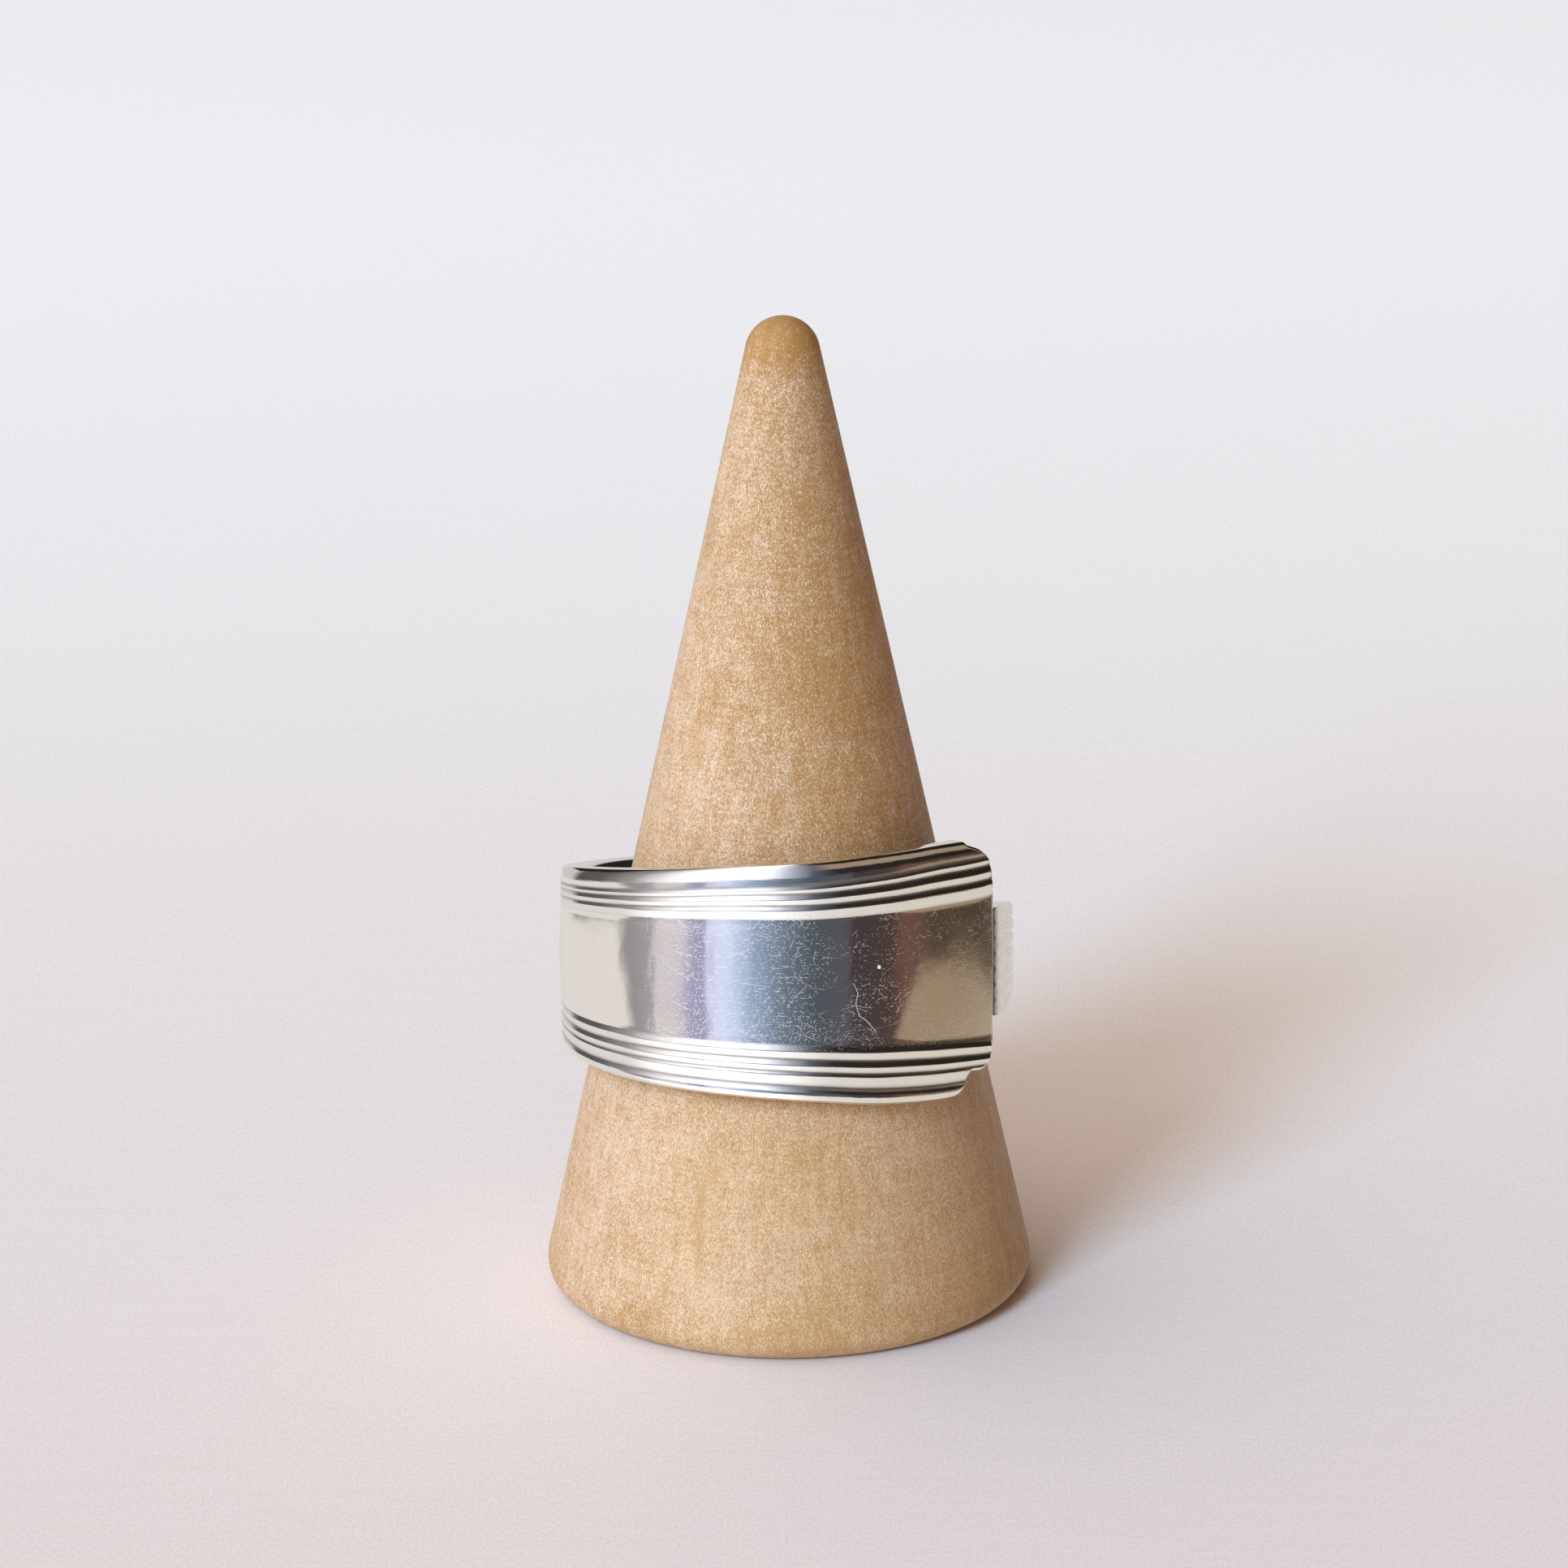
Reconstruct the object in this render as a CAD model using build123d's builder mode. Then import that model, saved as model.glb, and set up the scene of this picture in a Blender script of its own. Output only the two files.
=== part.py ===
from build123d import *
import os
from collections import namedtuple
from math import asin, atan2, cos, degrees, hypot, radians, sin, tan

# A spoon ring, one length of tapered spoon handle bent round, resting on a turned wooden cone.
# Millimetres, +Z up, origin at the middle of the cone's flat base. The front of the ring faces -Y.

# Cone
cone_diameter = 25.0
cone_height = 50.0
cone_tip_radius = 1.85
cone_foot_round = 1.2

# Band of the ring
finger_diameter = 19.8
panel_thickness = 1.45
widest = 12.6
groove_depth = 0.06
reed_height = 0.17
rim_height = 0.22
rim_drop = 0.3
bore_edge_round = 0.35
reed_count = 4

# How the ring leans back and to the right on the cone, and how far it stays clear of the wood
ring_tilt = 10.9
ring_roll = 0.3
seat_clearance = 0.08

# Where the wide part stops, as an angle from the front, and what follows it round the back
shoulder_angle = 64.5
tongue_length = 7.2
end_gap = 3.2

# Stepped shoulder: how far back its first step starts, how deep it is, the near-level stretch
# after it with its own fall, and the rounded corner of the second step with its run past the end
step_set_back = 3.5
step_depth = 0.7
ledge_length = 1.2
ledge_fall = 0.2
corner_round = 1.4
corner_run_out = 0.15

# Tongue with a raised fluted shell
tongue_half_width = 2.95
tongue_thinning = 0.12
shell_base_drop = 0.1
shell_start_drop = 0.45
flute_height = 0.3
flute_count = 7

# Band along its length: place is a share of the way from the wide end to the cut end, width is
# a share of the widest, panel is the share of that width between the reeded edges
BandRow = namedtuple("BandRow", "place width panel")
band_rows = [
    BandRow(0.000, 1.000, 0.555),
    BandRow(0.065, 1.000, 0.540),
    BandRow(0.125, 0.978, 0.515),
    BandRow(0.185, 0.930, 0.510),
    BandRow(0.250, 0.885, 0.515),
    BandRow(0.320, 0.845, 0.525),
    BandRow(0.400, 0.790, 0.525),
    BandRow(0.490, 0.710, 0.525),
    BandRow(0.575, 0.657, 0.525),
    BandRow(0.670, 0.628, 0.525),
    BandRow(0.765, 0.605, 0.525),
    BandRow(0.860, 0.588, 0.525),
    BandRow(1.000, 0.570, 0.525),
]

# Tongue along its length: place is a share of the way from the shoulders to the tip, width is a
# share of its half width, sink of how deep it starts below the panel, relief of the flutes' height
TongueRow = namedtuple("TongueRow", "place width sink relief")
tongue_rows = [
    TongueRow(-0.10, 0.78, 1.0, 0.3),
    TongueRow(0.03, 0.84, 0.0, 0.9),
    TongueRow(0.27, 0.96, 0.0, 1.0),
    TongueRow(0.52, 1.00, 0.0, 1.0),
    TongueRow(0.75, 0.86, 0.2, 0.8),
    TongueRow(0.91, 0.58, 0.5, 0.5),
    TongueRow(1.00, 0.24, 1.0, 0.1),
]

# Sizes that follow from these
bore_radius = finger_diameter / 2
panel_radius = bore_radius + panel_thickness
half_widest = widest / 2
tongue_sweep = degrees(tongue_length / panel_radius)
band_sweep = 360 - tongue_sweep - degrees(end_gap / panel_radius)
cone_radius = cone_diameter / 2
tip_centre = cone_height - cone_tip_radius
cone_slope = atan2(cone_radius, tip_centre) - asin(cone_tip_radius / hypot(cone_radius, tip_centre))
cone_apex = cone_radius / tan(cone_slope)

# Directions of the leaning ring: Z along its axis, X to its right
lean = Plane.XY.rotated((-ring_tilt, ring_roll, 0))


def outward(angle):
    """Direction away from the ring's axis, at an angle to the right of its front."""
    return lean.x_dir * sin(radians(angle)) - lean.y_dir * cos(radians(angle))


def band_angle(row):
    """Angle of a row of the band from the front."""
    return shoulder_angle - row.place * band_sweep


def seat_height(shift):
    """Height at which the ring's lower inner edge meets the cone when its middle is shifted back."""
    heights = []
    for row in band_rows:
        drop = row.width * half_widest - bore_edge_round
        point = outward(band_angle(row)) * bore_radius - lean.z_dir * drop
        reach = hypot(point.X, shift + point.Y) - seat_clearance / cos(cone_slope)
        heights.append(cone_apex - point.Z - reach / tan(cone_slope))
    return max(heights)


# The ring settles at the shift that lets it lie lowest
trial_shifts = [share / 1000 * bore_radius for share in range(300)]
ring_shift = min(trial_shifts, key=seat_height)
ring_middle = Vector(0, ring_shift, seat_height(ring_shift))
ring_plane = Plane(origin=ring_middle, x_dir=lean.x_dir, z_dir=lean.z_dir)


def section_plane(angle):
    """Plane of a cross-section: X points outward and Y along the ring's axis."""
    direction = outward(angle)
    return Plane(origin=ring_middle, x_dir=direction, z_dir=direction.cross(lean.z_dir))


def facing_plane(angle):
    """Plane that faces outward: X runs along the band and Y along the ring's axis."""
    direction = outward(angle)
    return Plane(origin=ring_middle, x_dir=lean.z_dir.cross(direction), z_dir=direction)


def band_section(row):
    """Cross-section of the band at a row, with the reeds along both edges."""
    half = row.width * half_widest
    pitch = (1 - row.panel) * half / reed_count
    side = panel_radius - rim_drop
    corner = (bore_radius, half - bore_edge_round)
    edge = (bore_radius + bore_edge_round, half)
    groove_radius = panel_radius - groove_depth * row.width
    crown_radius = panel_radius + reed_height * row.width
    rim_crown = (panel_radius + rim_height * row.width, half - pitch / 2)
    feet = [(panel_radius, row.panel * half)]
    feet += [(groove_radius, row.panel * half + reed * pitch) for reed in range(1, reed_count)]
    with BuildSketch(section_plane(band_angle(row))) as section:
        with BuildLine():
            TangentArc(corner, edge, tangent=(0, 1))
            Line(edge, (side, half))
            ThreePointArc((side, half), rim_crown, feet[-1])
            for start, end in zip(feet, feet[1:]):
                ThreePointArc(start, (crown_radius, (start[1] + end[1]) / 2), end)
            mirror(about=Plane.XZ)
            Line(corner, (corner[0], -corner[1]))
            Line(feet[0], (feet[0][0], -feet[0][1]))
        make_face()
    return section.sketch


def tongue_section(row):
    """Cross-section of the tongue at a row, with the flutes of the shell on its outside."""
    half = row.width * tongue_half_width
    low = bore_radius + tongue_thinning
    base = panel_radius - shell_base_drop - row.sink * shell_start_drop
    crest = base + row.relief * flute_height
    pitch = 2 * half / flute_count
    with BuildSketch(section_plane(shoulder_angle + row.place * tongue_sweep)) as section:
        with BuildLine():
            Polyline((base, half), (low, half), (low, -half), (base, -half))
            for flute in range(flute_count):
                start = -half + flute * pitch
                ThreePointArc((base, start), (crest, start + pitch / 2), (base, start + pitch))
        make_face()
    return section.sketch


def shoulder_waste():
    """What the two steps take from the upper edge of the band, seen from outside."""
    beyond = half_widest / 4
    top = half_widest + beyond
    ledge = half_widest - step_depth
    corner = ledge - ledge_fall
    start = (-step_set_back, half_widest)
    foot = (-corner_round - ledge_length, ledge)
    run_out = (corner_run_out, corner - corner_round)
    with BuildSketch(facing_plane(shoulder_angle)) as waste:
        with BuildLine():
            step = Spline(start, foot, tangents=((1, -1), (1, 0)))
            ledge_line = Line(step @ 1, (-corner_round, corner))
            TangentArc(ledge_line @ 1, run_out, tangent=(1, 0))
            Polyline(run_out, (beyond, ledge), (beyond, top), (start[0] - beyond, top), start)
        make_face()
    return waste.sketch


# What the steps cut away above and below the wide end
with BuildPart() as shoulder_cuts:
    extrude(shoulder_waste(), amount=2 * panel_radius)
    mirror(about=ring_plane)

# The ring: a band with reeded edges, stepped at its wide end, and the tongue past the steps
with BuildPart() as spoon_ring:
    loft([band_section(row) for row in band_rows])
    add(shoulder_cuts.part, mode=Mode.SUBTRACT)
    loft([tongue_section(row) for row in tongue_rows])
spoon_ring.part.label = "spoon_ring"

# The cone: straight sides, a ball tip and a rounded foot
with BuildPart() as ring_cone:
    with BuildSketch(Plane.XZ):
        with BuildLine():
            side_top = (
                cone_tip_radius * cos(cone_slope),
                tip_centre + cone_tip_radius * sin(cone_slope),
            )
            TangentArc((0, cone_height), side_top, tangent=(1, 0))
            Polyline(side_top, (cone_radius, 0), (0, 0), (0, cone_height))
        make_face()
    revolve(axis=Axis.Z)
    fillet(ring_cone.faces().sort_by(Axis.Z)[0].edges(), radius=cone_foot_round)
ring_cone.part.label = "ring_cone"

os.makedirs("parts", exist_ok=True)
export_step(spoon_ring.part, "parts/spoon_ring.step")
export_step(ring_cone.part, "parts/ring_cone.step")
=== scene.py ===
from collections import namedtuple
from math import cos, pi, radians, sin, tau

import bpy
import numpy as np
from bpy.props import FloatProperty, FloatVectorProperty, IntProperty, PointerProperty
from mathutils import Euler, Matrix, Vector


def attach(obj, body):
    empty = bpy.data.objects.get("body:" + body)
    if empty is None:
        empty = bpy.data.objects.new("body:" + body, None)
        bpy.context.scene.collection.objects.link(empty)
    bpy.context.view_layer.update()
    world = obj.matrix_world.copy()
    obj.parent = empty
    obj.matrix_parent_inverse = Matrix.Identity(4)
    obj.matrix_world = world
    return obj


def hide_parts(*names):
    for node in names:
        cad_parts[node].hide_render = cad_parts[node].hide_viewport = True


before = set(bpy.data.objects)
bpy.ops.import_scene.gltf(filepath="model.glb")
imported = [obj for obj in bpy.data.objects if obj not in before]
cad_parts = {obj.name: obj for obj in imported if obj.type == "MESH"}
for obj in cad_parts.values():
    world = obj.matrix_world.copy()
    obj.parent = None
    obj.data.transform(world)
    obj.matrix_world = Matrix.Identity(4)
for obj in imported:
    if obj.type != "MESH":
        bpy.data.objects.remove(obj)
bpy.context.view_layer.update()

bl_info = {
    "name": "Spoon ring on a wooden ring cone",
    "version": (1, 0, 0),
    "blender": (4, 5, 0),
    "location": "3D View > Sidebar > Spoon ring",
    "description": "Adds a silver spoon ring, the wooden cone that it rests on and a small studio",
    "category": "Add Mesh",
}

MM = 0.001
HALVES = ("upper", "lower")

# Steps across the band's outside, its sides, its inner edges and its bore, and cuts along it
PANEL_STEPS, REED_STEPS, BROAD_STEPS = 22, 48, 20
EDGE_STEPS, SIDE_STEPS, ROUND_STEPS, BORE_STEPS = REED_STEPS + BROAD_STEPS, 6, 6, 14
BAND_CUTS = (14, 20)

# Steps across one flute, a side and the under side of the tongue, and cuts along it
FLUTE_STEPS, WALL_STEPS, UNDER_STEPS = 10, 3, 8
TONGUE_CUTS = (8, 8)

# Steps of the cone: the ball at its tip, down its side, round its foot and round its axis
BALL_STEPS, CONE_SIDE_STEPS, FOOT_STEPS, TURN_STEPS = 96, 40, 8, 160

# Millimetres of the flat strip that one unit of the ring's UV map stands for
STRIP = 100.0

# Band along its length, from its wide end to its cut end: upper and lower are shares of half the
# widest width; the panel between the reeded edges is given for both halves as a share of those,
# and narrow is how much of the upper edge the narrow reeds take
BandRow = namedtuple("BandRow", "place upper lower upper_panel lower_panel narrow")
BAND = (
    BandRow(0.000, 1.020, 1.015, 0.532, 0.595, 0.690),
    BandRow(0.065, 1.017, 1.018, 0.527, 0.534, 0.685),
    BandRow(0.125, 0.984, 1.003, 0.524, 0.509, 0.645),
    BandRow(0.185, 0.938, 0.958, 0.525, 0.504, 0.615),
    BandRow(0.250, 0.907, 0.915, 0.540, 0.504, 0.600),
    BandRow(0.320, 0.851, 0.875, 0.548, 0.509, 0.575),
    BandRow(0.400, 0.785, 0.818, 0.553, 0.514, 0.560),
    BandRow(0.490, 0.700, 0.738, 0.558, 0.519, 0.560),
    BandRow(0.575, 0.625, 0.680, 0.558, 0.519, 0.560),
    BandRow(0.670, 0.580, 0.640, 0.558, 0.519, 0.560),
    BandRow(0.765, 0.560, 0.612, 0.558, 0.519, 0.560),
    BandRow(0.860, 0.555, 0.592, 0.558, 0.519, 0.560),
    BandRow(1.000, 0.550, 0.572, 0.558, 0.519, 0.560),
)

# Narrow reeds from the panel outwards, groove and crest in turn: places are shares of the way to
# the last groove, heights are millimetres over the panel's edge where the reed height is REED_UNIT
REED_UNIT = 0.09
ReedRow = namedtuple("ReedRow", "upper upper_height lower lower_height")
REEDS = (
    ReedRow(0.000, 0.000, 0.000, 0.000),
    ReedRow(0.290, 0.092, 0.165, 0.065),
    ReedRow(0.432, 0.042, 0.354, 0.000),
    ReedRow(0.600, 0.095, 0.504, 0.057),
    ReedRow(0.768, 0.037, 0.650, 0.005),
    ReedRow(0.884, 0.074, 0.725, 0.035),
    ReedRow(1.000, 0.034, 1.000, -0.057),
)
LOWER_NARROW = 0.70

# Broad reed along the edge, upper and lower: where its crest is as a share of its width from the
# edge, the crest's height, and how far it falls to the edge
BROAD_CREST, BROAD_HEIGHT, BROAD_FALL = (0.82, 0.58), (0.044, 0.011), (1.0, 1.5)

# Stepped shoulders: millimetres from the wide end, and how far the upper and the lower edge drop
ShoulderRow = namedtuple("ShoulderRow", "back upper lower")
SHOULDER = (
    ShoulderRow(0.00, 3.00, 2.30),
    ShoulderRow(0.15, 2.40, 1.80),
    ShoulderRow(0.30, 1.80, 1.58),
    ShoulderRow(0.45, 1.32, 1.42),
    ShoulderRow(0.60, 0.98, 1.30),
    ShoulderRow(0.85, 0.78, 1.19),
    ShoulderRow(1.20, 0.60, 1.13),
    ShoulderRow(1.60, 0.45, 1.15),
    ShoulderRow(2.10, 0.30, 1.19),
    ShoulderRow(2.45, 0.19, 0.93),
    ShoulderRow(2.76, 0.01, 0.42),
    ShoulderRow(3.05, 0.00, 0.14),
    ShoulderRow(3.40, 0.00, 0.03),
    ShoulderRow(3.90, 0.00, 0.00),
)

# Finish of the band in millimetres, pairs for the upper and the lower half: rounding of its ends'
# rims and of the cut end's corners, how far its walls lean, how far its panel is crowned and its
# reeds lie below that, how soon the relief is full, the nick along the edge, how much of its drop
# the lower outline follows, and the least room for all reeds and for the broad one
END_ROUND, CUT_CORNER, WALL_LEAN = 0.08, 0.6, (0.05, 0.12)
PANEL_CROWN, REED_SINK, RELIEF_START = 0.11, 0.06, 0.25
NICK_WIDTH, NICK_DEPTH, NICK_DROP, LOWER_FOLLOWS = 0.16, 0.1, 0.3, 0.45
REED_ROOM, BROAD_ROOM = 0.4, 0.25

# Rounding of the inner edges, upper and lower, as shares of the edge rounding
INNER_ROUND = (2.0, 0.4)

# Painted shade, a dark line where the wide end steps down: its reach and blur in millimetres, and
# its strength
SHADE_REACH, SHADE_BLUR, SHADE_STRENGTH = 0.16, 0.05, 1.8

# Tongue from the shoulders to its tip: width is a share of its half width, sink of TONGUE_SINK,
# relief of the height of its flutes
TongueRow = namedtuple("TongueRow", "place width sink relief")
TONGUE = (
    TongueRow(-0.10, 0.84, 1.00, 0.00),
    TongueRow(0.03, 0.90, 0.16, 0.05),
    TongueRow(0.27, 0.94, 0.10, 0.15),
    TongueRow(0.52, 0.86, 0.00, 0.80),
    TongueRow(0.75, 0.68, 0.20, 0.80),
    TongueRow(0.91, 0.44, 0.50, 0.50),
    TongueRow(1.00, 0.17, 1.00, 0.10),
)

# Finish of the tongue in millimetres: rounding of its tip from above and below, how far it lies
# below the panel at least and then at most, and above the bore, and its least half width and
# thickness
TIP_ROUND, UNDER_ROUND = 0.5, 0.35
BELOW_PANEL, TONGUE_SINK, ABOVE_BORE = 0.1, 0.45, 0.12
LEAST_HALF, LEAST_THICKNESS = 0.25, 0.15

# Scratches on the panel. Kinds of short ones: the millimetres that each has to itself, its reach,
# its half thickness, a start for where they fall, and their strength. The crooked one's points and
# the bright speck's place are in millimetres from the wide end and above the middle line
StrokeKind = namedtuple("StrokeKind", "cell reach half_thickness start strength")
STROKES = (
    StrokeKind(0.24, 0.090, 0.012, 3.1, 1.2),
    StrokeKind(0.15, 0.055, 0.011, 7.7, 1.0),
    StrokeKind(0.55, 0.300, 0.011, 11.3, 1.0),
    StrokeKind(1.30, 0.850, 0.010, 1.7, 1.0),
)
CROOKED_SCRATCH = (
    (9.51, -0.09), (9.31, -0.55), (9.41, -1.12), (9.23, -1.68), (8.84, -1.95), (8.35, -2.50),
)
CROOKED_HALF_THICKNESS = 0.026
SPECK_PLACE = (8.2, 0.67)

# Fixed tones of the metal, the wood and the paper
DULL_SILVER, SPECK_WHITE = (0.74, 0.70, 0.62), (0.95, 0.95, 0.95)
PALE_FLECK, YELLOW_FOOT, BROWN_STAIN = (0.86, 0.69, 0.50), (0.66, 0.41, 0.17), (0.50, 0.23, 0.07)
# The far paper's tone is painted light: the floor is painted lighter and cooler towards the back
FAR_PAPER_PAINTED_LIGHT, PAPER_FIBRE = (0.97, 0.98, 1.00), (0.50, 0.49, 0.48)

# Camera and window, in millimetres and degrees
LOOK_AT, CAMERA_TURN = (-0.08, 0, 26.09), -0.42
SENSOR_WIDTH, LENS = 36, 161.85
WINDOW_PLACE, WINDOW_AIM, WINDOW_SIZE = (-985, -1608, 1130), (0, 0, 20), (650, 800)
WINDOW_COLOUR = (0.49, 0.735, 1.0)

# Soft light of the room at the right and at the left, and the backdrop
FILL_RIGHT, FILL_LEFT, BACKDROP = (0.09, 0.042, 0.01), (1.14, 1.03, 0.915), (0.82, 0.82, 0.84)

# What the metal mirrors at its own level, above it and below it: degrees to the right of the
# front, and the colour there
HORIZON = (
    (-180, (0.70, 0.67, 0.65)), (-150, (0.79, 0.75, 0.72)), (-96, (0.82, 0.78, 0.75)),
    (-89, (0.33, 0.30, 0.31)), (-72, (0.38, 0.36, 0.40)), (-69, (0.68, 0.63, 0.64)),
    (-62, (0.70, 0.65, 0.68)), (-54, (0.64, 0.61, 0.70)), (-50, (0.42, 0.40, 0.56)),
    (-42, (0.35, 0.34, 0.54)), (-38, (0.74, 0.78, 1.00)), (-29, (0.70, 0.80, 1.08)),
    (-16, (0.31, 0.41, 0.60)), (-2, (0.16, 0.20, 0.265)), (13, (0.082, 0.10, 0.12)),
    (30, (0.10, 0.095, 0.11)), (33, (0.062, 0.046, 0.05)), (54, (0.070, 0.050, 0.046)),
    (60, (0.17, 0.08, 0.065)), (72, (0.13, 0.075, 0.055)), (78, (0.08, 0.06, 0.037)),
    (118, (0.075, 0.056, 0.037)), (131, (0.15, 0.115, 0.08)), (137, (0.67, 0.63, 0.61)),
    (180, (0.70, 0.67, 0.65)),
)
CEILING = (
    (-180, (0.66, 0.64, 0.63)), (-142, (0.62, 0.59, 0.58)), (-132, (0.10, 0.09, 0.09)),
    (-110, (0.12, 0.11, 0.11)), (-88, (0.34, 0.32, 0.33)), (-68, (1.00, 0.98, 1.00)),
    (-50, (1.45, 1.45, 1.48)), (-14, (1.35, 1.38, 1.48)), (2, (0.45, 0.48, 0.58)),
    (14, (0.09, 0.10, 0.13)), (26, (0.026, 0.022, 0.022)), (131, (0.016, 0.013, 0.010)),
    (137, (0.66, 0.64, 0.63)), (180, (0.66, 0.64, 0.63)),
)
GROUND = (
    (-180, (0.72, 0.69, 0.67)), (-90, (0.80, 0.77, 0.75)), (-60, (1.45, 1.43, 1.42)),
    (-16, (1.40, 1.39, 1.38)), (20, (0.80, 0.77, 0.74)), (60, (0.74, 0.69, 0.63)),
    (130, (0.72, 0.66, 0.60)), (180, (0.72, 0.69, 0.67)),
)
NEAR_WALL, FAR_WALL, HIGH_WALL = (0.36, 0.26, 0.17), (0.44, 0.35, 0.25), (0.36, 0.27, 0.19)
OVERHEAD = (0.020, 0.016, 0.012)


class SPOON_PG_ring_sizes(bpy.types.PropertyGroup):
    """Sizes of the ring and of its place on the cone."""

    bore: FloatProperty(
        name="Bore radius", description="Radius of the finger hole", default=9.9 * MM,
        unit="LENGTH", subtype="DISTANCE",
    )
    panel: FloatProperty(
        name="Panel radius", description="Radius of the smooth panel between the reeded edges",
        default=11.35 * MM, unit="LENGTH", subtype="DISTANCE",
    )
    half_widest: FloatProperty(
        name="Half width", description="Half of the band's widest width", default=6.3 * MM,
        unit="LENGTH", subtype="DISTANCE",
    )
    reed_height: FloatProperty(
        name="Reed height", description="Height of the highest reed over the panel's edge",
        default=REED_UNIT * MM, unit="LENGTH", subtype="DISTANCE",
    )
    rim_drop: FloatProperty(
        name="Rim drop", description="How far the outer edge falls below the panel",
        default=0.3 * MM, unit="LENGTH", subtype="DISTANCE",
    )
    edge_round: FloatProperty(
        name="Edge rounding", description="Radius of the inner edges",
        default=0.35 * MM, unit="LENGTH", subtype="DISTANCE",
    )
    shoulder: FloatProperty(
        name="Shoulder angle", description="Angle from the front to the end of the wide part",
        default=radians(64.5), unit="ROTATION", subtype="ANGLE",
    )
    sweep: FloatProperty(
        name="Band sweep", description="Angle that the band goes round",
        default=radians(307.5), unit="ROTATION", subtype="ANGLE",
    )
    tongue_length: FloatProperty(
        name="Tongue length", description="Length of the shell tongue", default=7.2 * MM,
        unit="LENGTH", subtype="DISTANCE",
    )
    tongue_half: FloatProperty(
        name="Tongue half width", description="Half width of the shell tongue",
        default=2.95 * MM, unit="LENGTH", subtype="DISTANCE",
    )
    flute_height: FloatProperty(
        name="Flute height", description="Height of the shell's flutes", default=0.18 * MM,
        unit="LENGTH", subtype="DISTANCE",
    )
    flutes: IntProperty(
        name="Flutes", description="Number of flutes on the shell", default=7, min=3, max=15,
    )
    tilt: FloatProperty(
        name="Tilt", description="How far the ring's front leans up on the cone",
        default=radians(10.9), unit="ROTATION", subtype="ANGLE",
    )
    roll: FloatProperty(
        name="Roll", description="How far the ring leans to its right",
        default=radians(0.3), unit="ROTATION", subtype="ANGLE",
    )
    set_back: FloatProperty(
        name="Set back", description="How far behind the cone's axis the ring's middle lies",
        default=0.9009 * MM, unit="LENGTH", subtype="DISTANCE",
    )
    height: FloatProperty(
        name="Height", description="Height of the ring's middle over the floor",
        default=17.08 * MM, unit="LENGTH", subtype="DISTANCE",
    )


class SPOON_PG_cone_sizes(bpy.types.PropertyGroup):
    """Sizes of the wooden cone."""

    radius: FloatProperty(
        name="Foot radius", description="Radius where the sides would meet the floor",
        default=12.5 * MM, unit="LENGTH", subtype="DISTANCE",
    )
    height: FloatProperty(
        name="Height", description="Height of the cone", default=50 * MM,
        unit="LENGTH", subtype="DISTANCE",
    )
    tip: FloatProperty(
        name="Tip radius", description="Radius of the ball at the tip", default=1.85 * MM,
        unit="LENGTH", subtype="DISTANCE",
    )
    foot_round: FloatProperty(
        name="Foot rounding", description="Radius of the foot's edge", default=1.2 * MM,
        unit="LENGTH", subtype="DISTANCE",
    )


class SPOON_PG_colours(bpy.types.PropertyGroup):
    """Colours of the metal, the wood and the floor."""

    silver: FloatVectorProperty(
        name="Silver", description="Polished silver plate", subtype="COLOR", size=3,
        default=(0.90, 0.885, 0.86), min=0, max=1,
    )
    # Colour of the tarnished grooves, also used for the painted shade where the band and the tongue
    # step down
    tarnish_and_shade_tone: FloatVectorProperty(
        name="Tarnish", description="Dark tarnish in the grooves", subtype="COLOR", size=3,
        default=(0.10, 0.08, 0.062), min=0, max=1,
    )
    wood: FloatVectorProperty(
        name="Wood", description="Pale bare wood", subtype="COLOR", size=3,
        default=(0.715, 0.51, 0.355), min=0, max=1,
    )
    # Also the colour of the painted shade on the cone's right side
    grain: FloatVectorProperty(
        name="Grain", description="Darker grain and flecks of the wood", subtype="COLOR", size=3,
        default=(0.43, 0.20, 0.050), min=0, max=1,
    )
    floor: FloatVectorProperty(
        name="Floor", description="Pale floor", subtype="COLOR", size=3,
        default=(0.780, 0.682, 0.650), min=0, max=1,
    )


class SPOON_PG_studio(bpy.types.PropertyGroup):
    """Camera and light of the studio."""

    distance: FloatProperty(
        name="Camera distance", description="From the camera to the point it looks at",
        default=350 * MM, unit="LENGTH", subtype="DISTANCE",
    )
    elevation: FloatProperty(
        name="Camera elevation", description="How far the camera looks down",
        default=radians(18.05), unit="ROTATION", subtype="ANGLE",
    )
    window: FloatProperty(
        name="Window light", description="Power of the window light", default=46.0, min=0,
        unit="POWER",
    )


class Wire:
    """One socket of a shader, so that its maths can be written as plain expressions."""

    def __init__(self, shader, socket):
        self.shader = shader
        self.socket = socket

    def math(self, operation, *values):
        return self.shader.add("ShaderNodeMath", {"operation": operation}, values)

    def beside(self, output):
        """Another output of the same node, by its name or number."""
        return Wire(self.shader, self.socket.node.outputs[output])

    def __add__(self, other):
        return self.math("ADD", self, other)

    __radd__ = __add__

    def __sub__(self, other):
        return self.math("SUBTRACT", self, other)

    def __rsub__(self, other):
        return self.math("SUBTRACT", other, self)

    def __mul__(self, other):
        return self.math("MULTIPLY", self, other)

    __rmul__ = __mul__

    def __truediv__(self, other):
        return self.math("DIVIDE", self, other)

    def __pow__(self, other):
        return self.math("POWER", self, other)

    def __abs__(self):
        return self.math("ABSOLUTE", self)

    def at_least(self, other):
        return self.math("MAXIMUM", self, other)

    def at_most(self, other):
        return self.math("MINIMUM", self, other)

    def rise(self, low, high):
        """0 below low and 1 above high, with soft ends; a low above high falls instead."""
        settings = {"interpolation_type": "SMOOTHSTEP"}
        if low < high:
            return self.shader.add("ShaderNodeMapRange", settings, (self, low, high, 0.0, 1.0))
        return self.shader.add("ShaderNodeMapRange", settings, (self, high, low, 1.0, 0.0))


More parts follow.
